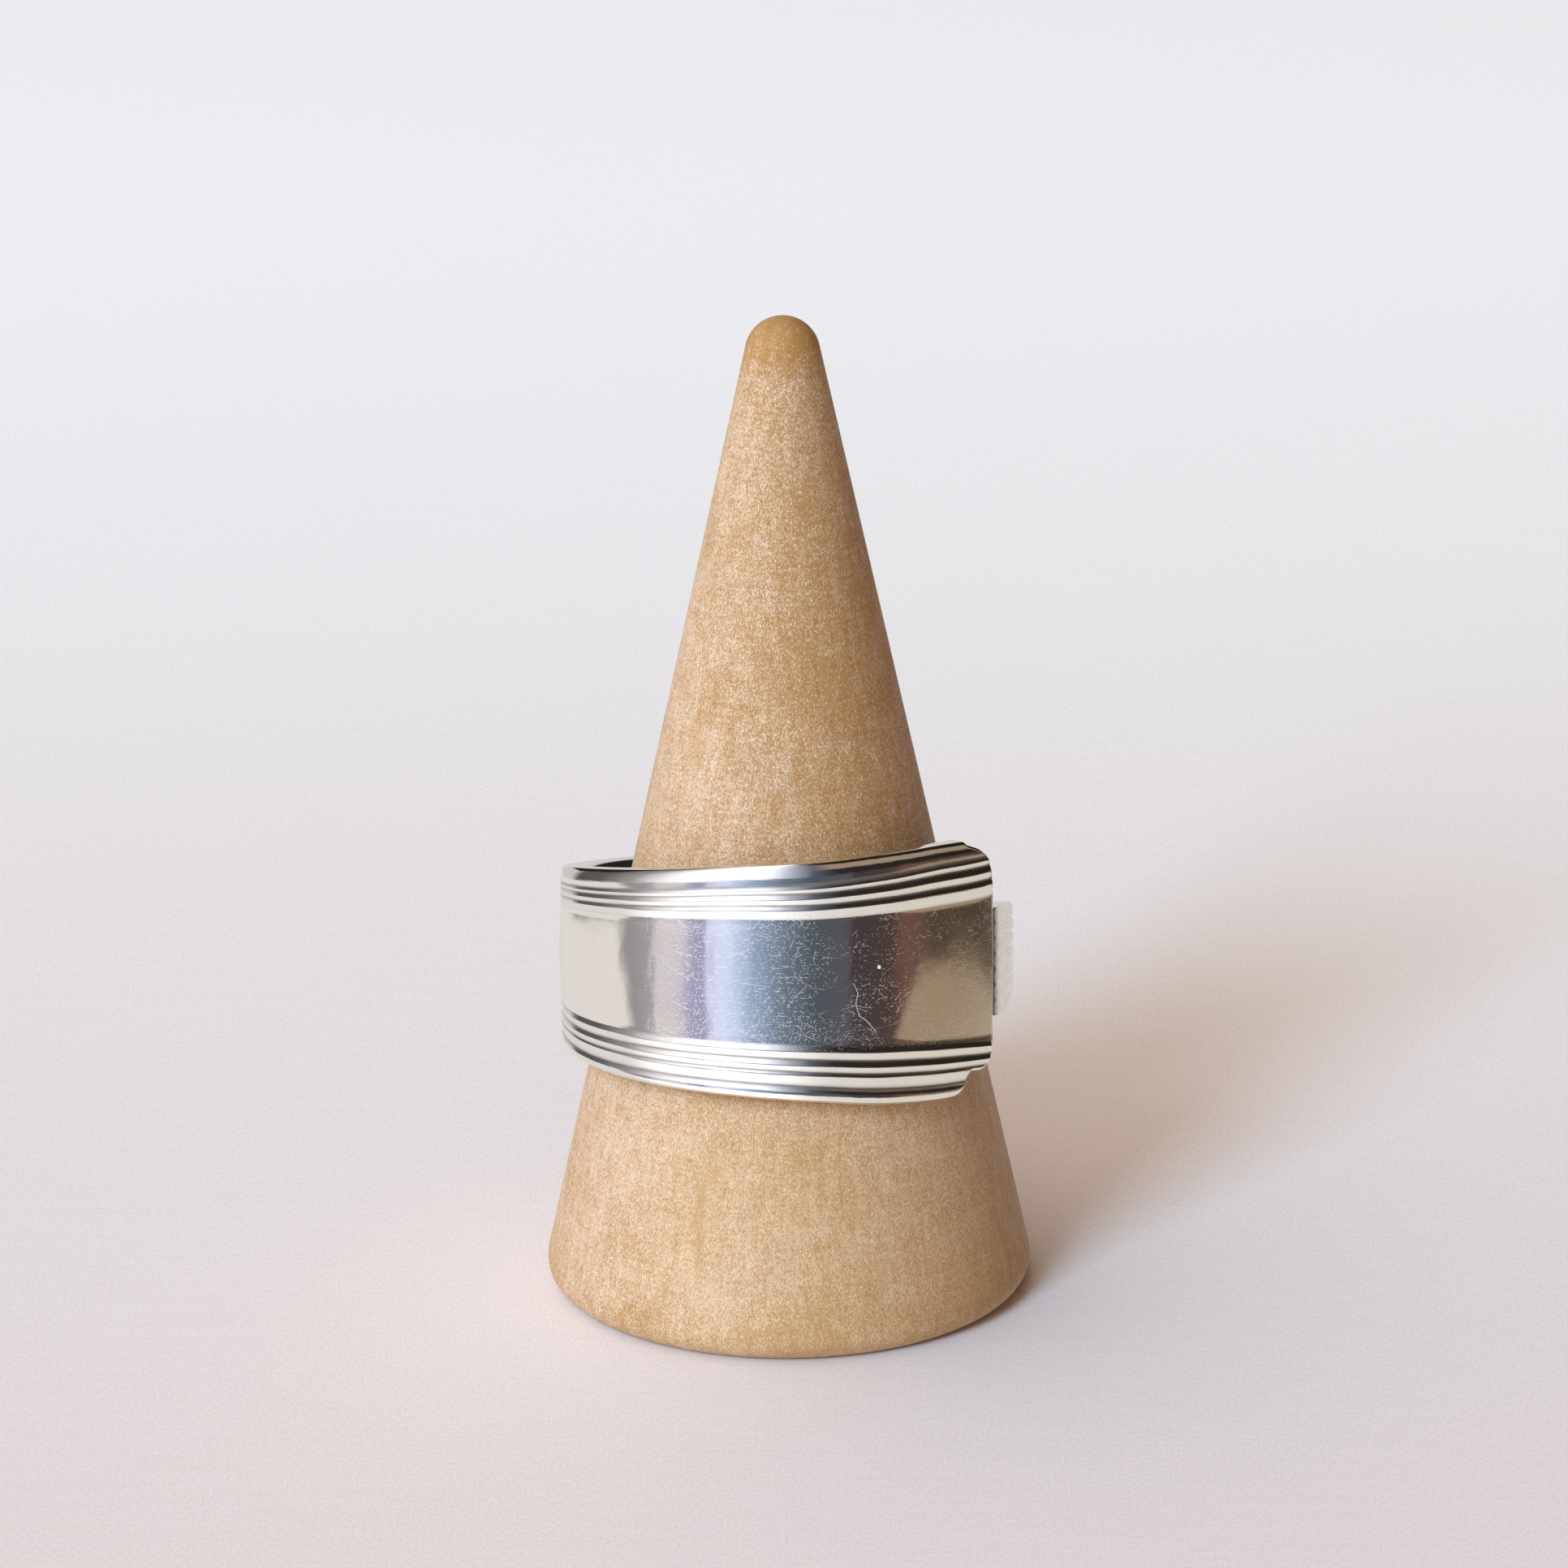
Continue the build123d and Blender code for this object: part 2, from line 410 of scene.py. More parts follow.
class Shader:
    """A node tree with one method that adds any node and returns one of its outputs."""

    def __init__(self, tree):
        self.tree = tree
        tree.nodes.clear()

    def add(self, kind, settings=None, values=(), output=0):
        """settings are set first; values are numbers, tuples or wires, by place or by name."""
        node = self.tree.nodes.new(kind)
        for name, value in (settings or {}).items():
            if name == "stops":
                self.set_stops(node.color_ramp, value)
            else:
                setattr(node, name, value)
        pairs = values.items() if isinstance(values, dict) else enumerate(values)
        for key, value in pairs:
            socket = node.inputs[key]
            if isinstance(value, Wire):
                self.tree.links.new(value.socket, socket)
            else:
                socket.default_value = value
        return Wire(self, node.outputs[output]) if node.outputs else None

    @staticmethod
    def set_stops(ramp, stops):
        while len(ramp.elements) < len(stops):
            ramp.elements.new(1.0)
        for element, (place, colour) in zip(ramp.elements, stops):
            element.position = place
            element.color = (*colour, 1.0)

    def blend(self, first, second, factor):
        """first where factor is 0 and second where it is 1, both colours."""
        first, second = (
            side if isinstance(side, Wire) else (*side, 1.0) for side in (first, second)
        )
        # The Mix node's colour sockets share their names with others, so they go by number
        settings = {"data_type": "RGBA", "clamp_factor": True}
        return self.add("ShaderNodeMix", settings, {0: factor, 6: first, 7: second}, 2)

    def vector_math(self, operation, values):
        return self.add("ShaderNodeVectorMath", {"operation": operation}, values)

    def split(self, vector):
        """The three parts of a vector."""
        first = self.add("ShaderNodeSeparateXYZ", None, (vector,))
        return [first.beside(i) for i in range(3)]

    def vector(self, x, y, z=0.0):
        return self.add("ShaderNodeCombineXYZ", None, (x, y, z))

    def noise(self, vector, scale, detail, roughness):
        values = {"Vector": vector, "Scale": scale, "Detail": detail, "Roughness": roughness}
        return self.add("ShaderNodeTexNoise", {"noise_dimensions": "3D"}, values)


def colours():
    return bpy.context.scene.spoon_colours


def new_material(name):
    material = bpy.data.materials.new(name)
    material.use_nodes = True
    return material, Shader(material.node_tree)


def finish_material(shader, colour, roughness, metallic, height):
    """Ends a material with its surface and a bump from a height in millimetres."""
    bump = {"Strength": 1.0, "Distance": MM, "Height": height}
    normal = shader.add("ShaderNodeBump", None, bump)
    values = {
        "Base Color": colour, "Roughness": roughness, "Metallic": metallic, "Normal": normal,
    }
    surface = shader.add("ShaderNodeBsdfPrincipled", None, values)
    shader.add("ShaderNodeOutputMaterial", None, {"Surface": surface})


def stroke_mask(shader, place, kind):
    """Short straight scratches of one kind, one to a cell, each at its own angle."""
    start = (kind.start, kind.start * 0.37, 0.0)
    scaled = shader.vector_math("MULTIPLY_ADD", (place, (1 / kind.cell,) * 3, start))
    settings = {"voronoi_dimensions": "2D", "feature": "F1"}
    values = {"Vector": scaled, "Scale": 1.0}
    centre = shader.add("ShaderNodeTexVoronoi", settings, values, "Position")
    angle, chance = shader.split(centre.beside("Color"))[:2]
    dx, dy = shader.split(shader.vector_math("SUBTRACT", (scaled, centre)))[:2]
    turn = (angle * 0.8 + 0.4) * pi
    along = dx * turn.math("COSINE", turn) + dy * turn.math("SINE", turn)
    across = dy * turn.math("COSINE", turn) - dx * turn.math("SINE", turn)
    half, reach = kind.half_thickness / kind.cell, kind.reach / kind.cell
    thin = abs(across).rise(half, 0.3 * half)
    short = abs(along).rise(reach, 0.6 * reach)
    return thin * short * chance * chance * 1.4 * kind.strength


def line_mask(shader, place, points, half_thickness):
    """A crooked scratch through points given in millimetres."""
    mask = None
    for start, end in zip(points, points[1:]):
        run = (end[0] - start[0], end[1] - start[1])
        size = (run[0] ** 2 + run[1] ** 2) ** 0.5
        dx, dy = shader.split(shader.vector_math("SUBTRACT", (place, (*start, 0.0))))[:2]
        along = dx * (run[0] / size) + dy * (run[1] / size)
        across = dy * (run[0] / size) - dx * (run[1] / size)
        piece = abs(across).rise(half_thickness, 0.3 * half_thickness)
        piece = piece * along.rise(-0.04, 0.0) * along.rise(size + 0.04, size)
        mask = piece if mask is None else mask.at_least(piece)
    return mask


def silver_material():
    """Worn silver plate: fine scratches, soft wear, tarnished grooves and painted shade where the
    band and the tongue step down.
    """
    material, shader = new_material("silver_plate")
    tones = colours()
    unrolled = shader.add("ShaderNodeUVMap", {"uv_map": "unrolled"})
    flat = shader.vector_math(
        "MULTIPLY_ADD", (unrolled, (STRIP, STRIP, 0.0), (0.0, -STRIP / 2, 0.0))
    )
    solid = shader.add("ShaderNodeTexCoord", None, (), "Object")
    recess = shader.add("ShaderNodeAttribute", {"attribute_name": "recess"}, (), "Fac")
    curl = shader.add(
        "ShaderNodeTexNoise", {"noise_dimensions": "2D"},
        {"Vector": flat, "Scale": 0.35, "Detail": 1.0}, "Color",
    )
    wander = shader.vector_math("MULTIPLY_ADD", (curl, (0.2, 0.2, 0.0), flat))
    u, v = shader.split(flat)[:2]
    panel = abs(v).rise(3.6, 3.2)
    wear = shader.noise(flat, 0.45, 3.0, 0.6)
    worn = (wear + abs(u - 15.5).rise(4.8, 1.8) * 0.11).rise(0.38, 0.60)
    scratches = sum(stroke_mask(shader, wander, kind) for kind in STROKES)
    scratches = scratches.at_most(1.0) * (worn * 0.9 + 0.1)
    scratches = scratches * (panel * 0.9 + 0.1) * (u.rise(21.5, 19.0) * 0.9 + 0.1)
    crooked = line_mask(shader, flat, CROOKED_SCRATCH, CROOKED_HALF_THICKNESS)
    speck = ((u - SPECK_PLACE[0]) ** 2.0 + (v - SPECK_PLACE[1]) ** 2.0).rise(0.011, 0.006)
    streak = shader.noise(shader.vector(u * 0.7, v * 9.0), 1.0, 3.0, 0.6)
    brushed = u.rise(4.6, 3.4) * streak * panel
    cloud = shader.noise(solid, 420.0, 4.0, 0.6)
    haze = shader.noise(solid, 1900.0, 2.0, 0.5)
    roughness = 0.05 + cloud * 0.03 + haze * 0.03 + recess * 0.3 + brushed * 0.10
    roughness = roughness + scratches * 0.5 + crooked * 0.7
    patch = cloud.rise(0.50, 0.72) * 0.16
    metal = shader.blend(tones.silver, DULL_SILVER, patch)
    # Tarnished grooves, and painted shade where the band ends and the tongue starts, both in the
    # same dark colour
    dark = recess * (0.1 + wear * 0.7)
    metal = shader.blend(metal, tones.tarnish_and_shade_tone, dark.at_most(1.0))
    metal = shader.blend(metal, SPECK_WHITE, speck)
    swell = shader.noise(flat, 0.55, 1.0, 0.4)
    ripple = shader.noise(flat, 2.2, 2.0, 0.5)
    height = swell * 0.008 + ripple * 0.0018 + cloud * 0.0008 + haze * 0.0008
    height = height + brushed * 0.002 - scratches * 0.0026 - crooked * 0.004
    height = height + streak * (1 - panel) * 0.003
    finish_material(shader, metal, roughness, 1 - speck, height)
    return material


def wood_material():
    """Pale bare wood, turned: fine flecks, warm patches, a darker tip and foot, and painted shade
    darker towards its right side.
    """
    material, shader = new_material("cone_wood")
    tones = colours()
    solid = shader.add("ShaderNodeTexCoord", None, (), "Object")
    x, y, z = (metres * 1000.0 for metres in shader.split(solid))
    fibre = shader.noise(shader.vector(x, y, z * 0.10), 2.2, 3.0, 0.65)
    grain = shader.noise(shader.vector(x, y, z * 0.35), 15.0, 2.0, 0.7)
    fleck = shader.noise(shader.vector(x, y, z * 0.45), 27.0, 1.0, 0.6)
    turned = shader.noise(shader.vector(x * 0.3, y * 0.3, z * 5.0), 1.0, 2.0, 0.6)
    mottle = shader.noise(shader.vector(x, y, z * 0.7), 1.3, 4.0, 0.75)
    patch = shader.noise(solid, 150.0, 3.0, 0.6)
    dark = 0.38 + (fibre - 0.5) * 0.9 + (grain - 0.5) * 2.9 + (fleck - 0.5) * 3.2
    dark = dark + (mottle - 0.5) * 0.7 + (patch - 0.5) * 1.0 + (turned - 0.5) * 0.6
    tip = z.rise(46.4, 49.6) * (mottle * 1.6 - 0.1)
    foot = z.rise(4.5, 0.8) * (mottle * 0.7 + 0.1)
    # Painted shade: the wood is painted darker and warmer towards its right side, away from the
    # window, and more so higher up
    painted_side_shade = x.rise(-5.5, 4.5) * (z.rise(10.0, 30.0) * 0.40 + 0.13)
    dark = (dark + tip * 0.8 + foot * 0.5 + painted_side_shade).at_least(0.0).at_most(1.0)
    colour = shader.blend(tones.wood, tones.grain, dark)
    pale = fleck.rise(0.58, 0.68) * grain.rise(0.45, 0.60)
    colour = shader.blend(colour, PALE_FLECK, pale * 0.38)
    low = z.rise(19.0, 8.0) * x.rise(-10.0, -3.0) * (patch * 0.5 + 0.25)
    colour = shader.blend(colour, YELLOW_FOOT, low * 0.6)
    streak = shader.noise(shader.vector(x, y, z * 0.06), 0.8, 2.0, 0.5)
    dash = shader.noise(shader.vector(x * 0.6, y * 0.6, z * 3.0), 1.6, 3.0, 0.6)
    stain = streak.rise(0.58, 0.72) + dash.rise(0.60, 0.72) * x.rise(3.0, -4.0)
    colour = shader.blend(colour, BROWN_STAIN, stain.at_most(1.0) * 0.30)
    speckle = 1 - (grain - 0.5) * 0.45 - (fleck - 0.5) * 0.5 - (fibre - 0.5) * 0.2
    colour = shader.vector_math("SCALE", {"Vector": colour, "Scale": speckle})
    roughness = 0.42 + grain * 0.15 + dark * 0.08
    height = grain * 0.02 + fibre * 0.015 - dark * 0.01
    finish_material(shader, colour, roughness, 0.0, height)
    return material


def floor_material():
    """Pale matt paper with a faint lengthwise fibre, and painted light: lighter and cooler towards
    the back.
    """
    material, shader = new_material("floor_paper")
    solid = shader.add("ShaderNodeTexCoord", None, (), "Object")
    x, y = shader.split(solid)[:2]
    fibre = shader.noise(shader.vector(x * 160.0, y * 900.0), 1.0, 3.0, 0.6)
    grain = shader.noise(shader.vector(x * 7000.0, y * 3200.0), 1.0, 1.0, 0.6)
    strand, dot = fibre.rise(0.3, 0.7), grain.rise(0.3, 0.7)
    # Painted light: the paper turns lighter and cooler towards the back
    colour = shader.blend(colours().floor, FAR_PAPER_PAINTED_LIGHT, y.rise(-0.08, 0.26))
    colour = shader.blend(colour, PAPER_FIBRE, strand * 0.05)
    speckle = 1 + (dot - 0.5) * 0.09 + (strand - 0.5) * 0.03
    colour = shader.vector_math("SCALE", {"Vector": colour, "Scale": speckle})
    finish_material(shader, colour, 0.9, 0.0, fibre * 0.03)
    return material


def smooth_through(places, values, at):
    """Curve through the points of a table, without overshoot between them."""
    places, values = np.asarray(places, float), np.asarray(values, float)
    steps = np.diff(values) / np.diff(places)
    slopes = np.zeros_like(values)
    inner = steps[:-1] * steps[1:]
    total = steps[:-1] + steps[1:]
    slopes[1:-1] = np.where(inner > 0, 2 * inner / np.where(total == 0, 1, total), 0)
    slopes[0], slopes[-1] = steps[0], steps[-1]
    span = np.clip(np.searchsorted(places, at, side="right") - 1, 0, len(places) - 2)
    width = places[span + 1] - places[span]
    t = np.clip((at - places[span]) / width, 0, 1)
    rise = values[span + 1] - values[span]
    start, end = slopes[span] * width, slopes[span + 1] * width
    return (
        values[span] + start * t + (3 * rise - 2 * start - end) * t**2
        + (start + end - 2 * rise) * t**3
    )


def column(table, name):
    return [getattr(row, name) for row in table]


def deselect_all():
    """Goes into object mode with nothing selected."""
    if bpy.context.object and bpy.context.object.mode != "OBJECT":
        bpy.ops.object.mode_set(mode="OBJECT")
    bpy.ops.object.select_all(action="DESELECT")


def select_points(piece, wanted):
    """Goes into edit mode with only the points selected whose place is wanted."""
    bpy.ops.object.mode_set(mode="EDIT")
    bpy.ops.mesh.select_mode(type="VERT")
    bpy.ops.mesh.select_all(action="DESELECT")
    bpy.ops.object.mode_set(mode="OBJECT")
    for vertex in piece.data.vertices:
        vertex.select = wanted(vertex.co)
    bpy.ops.object.mode_set(mode="EDIT")


def add_bar(name, columns, cuts):
    """A straight bar along Z with that many sides, cut across into rows twice over."""
    deselect_all()
    length = 1.0
    bpy.ops.mesh.primitive_cylinder_add(
        vertices=columns, radius=0.1, depth=length, end_fill_type="NGON", location=(0, 0, 0)
    )
    bar = bpy.context.object
    bar.name = bar.data.name = name
    for cut in cuts:
        bpy.ops.object.mode_set(mode="EDIT")
        bpy.ops.mesh.select_mode(type="EDGE")
        bpy.ops.mesh.select_all(action="DESELECT")
        bpy.ops.object.mode_set(mode="OBJECT")
        for edge in bar.data.edges:
            low, high = (bar.data.vertices[v].co for v in edge.vertices)
            edge.select = abs(low.z - high.z) > 1e-6
        bpy.ops.object.mode_set(mode="EDIT")
        bpy.ops.mesh.subdivide(number_cuts=cut, smoothness=0)
        bpy.ops.object.mode_set(mode="OBJECT")
    rows = 1
    for cut in cuts:
        rows *= cut + 1
    points = np.empty(len(bar.data.vertices) * 3)
    bar.data.vertices.foreach_get("co", points)
    points = points.reshape(-1, 3)
    row = np.rint((points[:, 2] + length / 2) / length * rows).astype(int)
    turn = np.arctan2(points[:, 1], points[:, 0]) / tau * columns
    side = np.rint(turn - turn[0]).astype(int) % columns
    return bar, row, side


def shape_bar(bar, places, unrolled, recess):
    """Moves the bar's points to their places and keeps their place on the flat strip."""
    mesh = bar.data
    mesh.vertices.foreach_set("co", (places * MM).ravel())
    while mesh.uv_layers:
        mesh.uv_layers.remove(mesh.uv_layers[0])
    layer = mesh.uv_layers.new(name="unrolled")
    corner = np.empty(len(mesh.loops), dtype=np.int32)
    mesh.loops.foreach_get("vertex_index", corner)
    layer.data.foreach_set("uv", (unrolled[corner] / STRIP + (0.0, 0.5)).ravel())
    attribute = mesh.attributes.new("recess", "FLOAT", "POINT")
    attribute.data.foreach_set("value", recess)
    mesh.update()
    bpy.ops.object.mode_set(mode="EDIT")
    bpy.ops.mesh.select_all(action="SELECT")
    bpy.ops.mesh.normals_make_consistent(inside=False)
    bpy.ops.object.mode_set(mode="OBJECT")


def bend_round(sizes, angle, radius, height):
    """Places of points given by angle from the front, radius and height, all in millimetres."""
    turn = Euler((-sizes.tilt, sizes.roll, 0), "XYZ").to_matrix()
    across, back, up = (np.array(turn.col[i]) for i in range(3))
    middle = np.array((0, sizes.set_back, sizes.height)) / MM
    outward = np.sin(angle)[:, None] * across - np.cos(angle)[:, None] * back
    return middle + outward * radius[:, None] + up * height[:, None]


def end_inset(distance, radius):
    """How far a surface falls back at a distance from a rounded end."""
    t = np.clip(distance / radius, 0, 1)
    return radius * (1 - np.sqrt(1 - (1 - t) ** 2))


def arch(t):
    """Round crest of a flute: 0 at both feet, 1 in the middle, for t from 0 to 1."""
    return 1 - np.abs(2 * np.clip(t, 0, 1) - 1) ** 2.2


def soft_step(t):
    """0 up to t = 0 and 1 from t = 1 on, with soft ends."""
    t = np.clip(t, 0, 1)
    return t * t * (3 - 2 * t)


def band_rows(length):
    """Distances from the wide end of all the rows, closest together at the steps."""
    return np.concatenate((
        np.linspace(0, 0.25, 10)[:-1], np.linspace(0.25, 4.2, 66)[:-1],
        np.linspace(4.2, 21.0, 132)[:-1], np.linspace(21.0, length - 0.3, 101)[:-1],
        np.linspace(length - 0.3, length, 11),
    ))


def reed_relief(level, panel, last, outline, up):
    """Height over the panel's edge, how near a groove is, and how far out the edge's fall is."""
    within = (level - panel) / (last - panel)
    height = np.where(up, *(
        np.interp(within, column(REEDS, name), column(REEDS, name + "_height")) for name in HALVES
    ))
    groove = np.zeros_like(level)
    for row in REEDS[::2]:
        off = np.abs(within - np.where(up, row.upper, row.lower))
        reach = 0.11 if row is REEDS[-1] else 0.07
        groove = np.maximum(groove, np.clip(1 - off / reach, 0, 1))
    crest, top = (np.where(up, *pair) for pair in (BROAD_CREST, BROAD_HEIGHT))
    out = np.clip((outline - level) / np.maximum(outline - last, 0.05), 0, 1)
    rise = np.sin(np.clip((1 - out) / (1 - crest), 0, 1) * pi / 2)
    height = np.where(within > 1, height + (top - height) * rise, height)
    return height, groove, np.clip(1 - out / crest, 0, 1)


def band_piece(sizes):
    """The reeded band: a bar given its cross-section and bent round."""
    bore, panel_radius, half = sizes.bore / MM, sizes.panel / MM, sizes.half_widest / MM
    length = panel_radius * sizes.sweep
    outer = PANEL_STEPS + 2 * EDGE_STEPS + 1
    corner = SIDE_STEPS + ROUND_STEPS
    columns = outer + 2 * corner + BORE_STEPS - 1
    bar, row, side = add_bar("band", columns, BAND_CUTS)
    along = band_rows(length)[row]

    # Where on the loop each point is: the outside, then a side, the bore and the other side
    on_outer = side < outer
    from_middle = side - (outer - 1) / 2
    up = np.where(on_outer, from_middle >= 0, side < outer + corner + BORE_STEPS / 2)

    def of_band(name):
        return smooth_through(column(BAND, "place"), column(BAND, name), along / length)

    def own(pair):
        """Each point's value, out of one for the upper and one for the lower half."""
        return np.where(up, pair["upper"], pair["lower"])

    # Outline of each half, less what its shoulder drops, and where its panel and reeds end
    inset = end_inset(np.minimum(along, length - along), END_ROUND)
    cut = end_inset(length - along, CUT_CORNER)
    widths = {name: half * of_band(name) for name in HALVES}
    drops = {
        name: smooth_through(column(SHOULDER, "back"), column(SHOULDER, name), along)
        for name in HALVES
    }
    limits = {name: widths[name] - inset - cut - drops[name] for name in HALVES}
    width, drop, limit = own(widths), own(drops), own(limits)
    panel = width * np.where(up, of_band("upper_panel"), of_band("lower_panel"))
    last = panel + np.where(up, of_band("narrow"), LOWER_NARROW) * (width - panel)
    outline = width - inset - cut - np.where(up, 0, np.minimum(drop, LOWER_FOLLOWS))

    # Level of each point of the outside, more of them across the reeds
    lean = np.where(up, *WALL_LEAN)
    edge_start = np.minimum(panel, limit - REED_ROOM)
    reeds_end = np.minimum(last, limit - BROAD_ROOM)
    past_panel = np.abs(from_middle) - PANEL_STEPS / 2
    reed_ends = np.linspace(0, REED_STEPS, len(REEDS))
    share_in = own({name: np.interp(past_panel, reed_ends, column(REEDS, name)) for name in HALVES})
    share_out = np.clip((past_panel - REED_STEPS) / BROAD_STEPS, 0, 1)
    level = np.where(
        past_panel <= 0, (1 + past_panel / (PANEL_STEPS / 2)) * edge_start,
        edge_start + share_in * (reeds_end - edge_start)
        + np.sin(share_out * pi / 2) * (limit - lean - reeds_end),
    )

    # Radius of the outside: a slightly crowned panel, the reeds and the fall to the edge
    calm = soft_step(along / RELIEF_START)
    rim_fall = sizes.rim_drop / MM * np.where(up, *BROAD_FALL)

    def outside(level):
        relief, groove, edge_share = reed_relief(level, panel, last, outline, up)
        crown = PANEL_CROWN * (1 - (level / np.maximum(panel, 0.1)) ** 2)
        relief = relief * sizes.reed_height / (REED_UNIT * MM) * width / half
        face = np.where(level <= panel, crown, relief) * calm
        nick = np.clip(1 - (limit - lean - level) / NICK_WIDTH, 0, 1) ** 2 * NICK_DEPTH
        nick = nick * np.where(up, np.clip(drop / NICK_DROP, 0, 1), 1)
        fall = (1 - np.sqrt(1 - edge_share**2)) * rim_fall
        return panel_radius - REED_SINK + face - fall - nick - inset, groove

    radius, groove = outside(level)
    # Painted shade: a dark line at the wide end, where the band steps down to the tongue, mixed in
    # with the tarnished grooves
    end_shade = np.clip((SHADE_REACH - along) / SHADE_BLUR, 0, 1) * SHADE_STRENGTH
    recess = np.maximum(np.where(level > panel, groove**1.5 * calm, 0), end_shade)
    recess = np.where(on_outer, recess, 0)
    height = np.where(up, level, -level)

    # Side walls that lean a little, inner edges and bore
    wall_top, inner = outside(limit - lean)[0], bore + inset
    edges = {name: part * sizes.edge_round / MM for name, part in zip(HALVES, INNER_ROUND)}
    edge = own(edges)
    for first, way in ((outer, 1), (columns - corner, -1)):
        here = (side >= first) & (side < first + corner)
        inwards = side - first + 1 if way > 0 else corner - (side - first)
        wall = np.clip(inwards / SIDE_STEPS, 0, 1)
        bend = np.clip((inwards - SIDE_STEPS) / ROUND_STEPS, 0, 1) * pi / 2
        side_radius = wall_top + (inner + edge - wall_top) * wall - edge * np.sin(bend)
        side_height = way * (limit - lean * (1 - wall) ** 1.6 - edge * (1 - np.cos(bend)))
        radius = np.where(here, side_radius, radius)
        height = np.where(here, side_height, height)
    on_bore = (side >= outer + corner) & (side < columns - corner)
    across = (side - outer - corner + 1) / BORE_STEPS
    upper_end, lower_end = (limits[name] - edges[name] for name in HALVES)
    radius = np.where(on_bore, inner, radius)
    height = np.where(on_bore, upper_end - across * (upper_end + lower_end), height)

    places = bend_round(sizes, sizes.shoulder - along / panel_radius, radius, height)
    shape_bar(bar, places, np.stack((along, height), axis=1), recess)
    return bar


def tongue_piece(sizes):
    """The tongue: a bar with a raised shell of flutes that narrow towards the tip."""
    bore, panel_radius = sizes.bore / MM, sizes.panel / MM
    length, half = sizes.tongue_length / MM, sizes.tongue_half / MM
    outer = sizes.flutes * FLUTE_STEPS + 1
    columns = outer + 2 * WALL_STEPS + UNDER_STEPS
    bar, row, side = add_bar("tongue", columns, TONGUE_CUTS)
    share = -0.08 + 1.08 * (row / row.max())
    to_tip = (1 - share) * length
    width, sink, relief = (
        smooth_through(column(TONGUE, "place"), column(TONGUE, name), share)
        for name in ("width", "sink", "relief")
    )
    tip = end_inset(to_tip, TIP_ROUND)
    width = np.maximum(width * half - tip, LEAST_HALF)
    low = bore + ABOVE_BORE + end_inset(to_tip, UNDER_ROUND)
    base = panel_radius - BELOW_PANEL - sink * TONGUE_SINK - tip * 0.6
    base = np.maximum(base, low + LEAST_THICKNESS)

    # Outside: flutes with round crests, which rise past the step at the shoulders
    across = (side - (outer - 1) / 2) / ((outer - 1) / 2)
    crest = arch(np.mod((np.clip(across, -1, 0.9999) + 1) / 2 * sizes.flutes, 1))
    foot = 0.05 + 0.05 * across**2 + 0.03 * (1 - crest)
    rise = soft_step((share - foot) / 0.3)
    dome = 1 - 0.45 * np.clip(np.abs(across), 0, 1) ** 4
    radius = base + relief * rise * sizes.flute_height / MM * (0.25 + 0.75 * crest) * dome
    height = np.clip(across, -1, 1) * width

    # Upper wall, under side and lower wall, in their order round the bar
    on_outer, after, before = side < outer, side - outer + 1, columns - side
    upper, lower = (after >= 1) & (after <= WALL_STEPS), before <= WALL_STEPS
    under = ~(on_outer | upper | lower)
    wall = np.where(upper, after, before) / (WALL_STEPS + 1)
    radius = np.where(upper | lower, base - wall * (base - low), np.where(under, low, radius))
    height = np.where(upper, width, np.where(lower, -width, height))
    under_share = (after - WALL_STEPS - 1) / (UNDER_STEPS - 1)
    height = np.where(under, width * (1 - 2 * under_share), height)

    # Painted shade: a dark strip where the tongue starts below the band's step, mixed in with the
    # tarnished flutes
    step_shade = np.clip((0.075 + 0.03 * (1 - crest) - share) / 0.02, 0, 1) * SHADE_STRENGTH
    recess = np.where(on_outer, np.maximum(((1 - crest) * rise) ** 4 * 0.2, step_shade), 0)
    places = bend_round(sizes, sizes.shoulder + share * length / panel_radius, radius, height)
    shape_bar(bar, places, np.stack((-share * length, height), axis=1), recess)
    return bar


def round_share(degrees):
    """How far round from the back a bearing lies, given in degrees to the right of the front."""
    return (degrees + 180) / 360


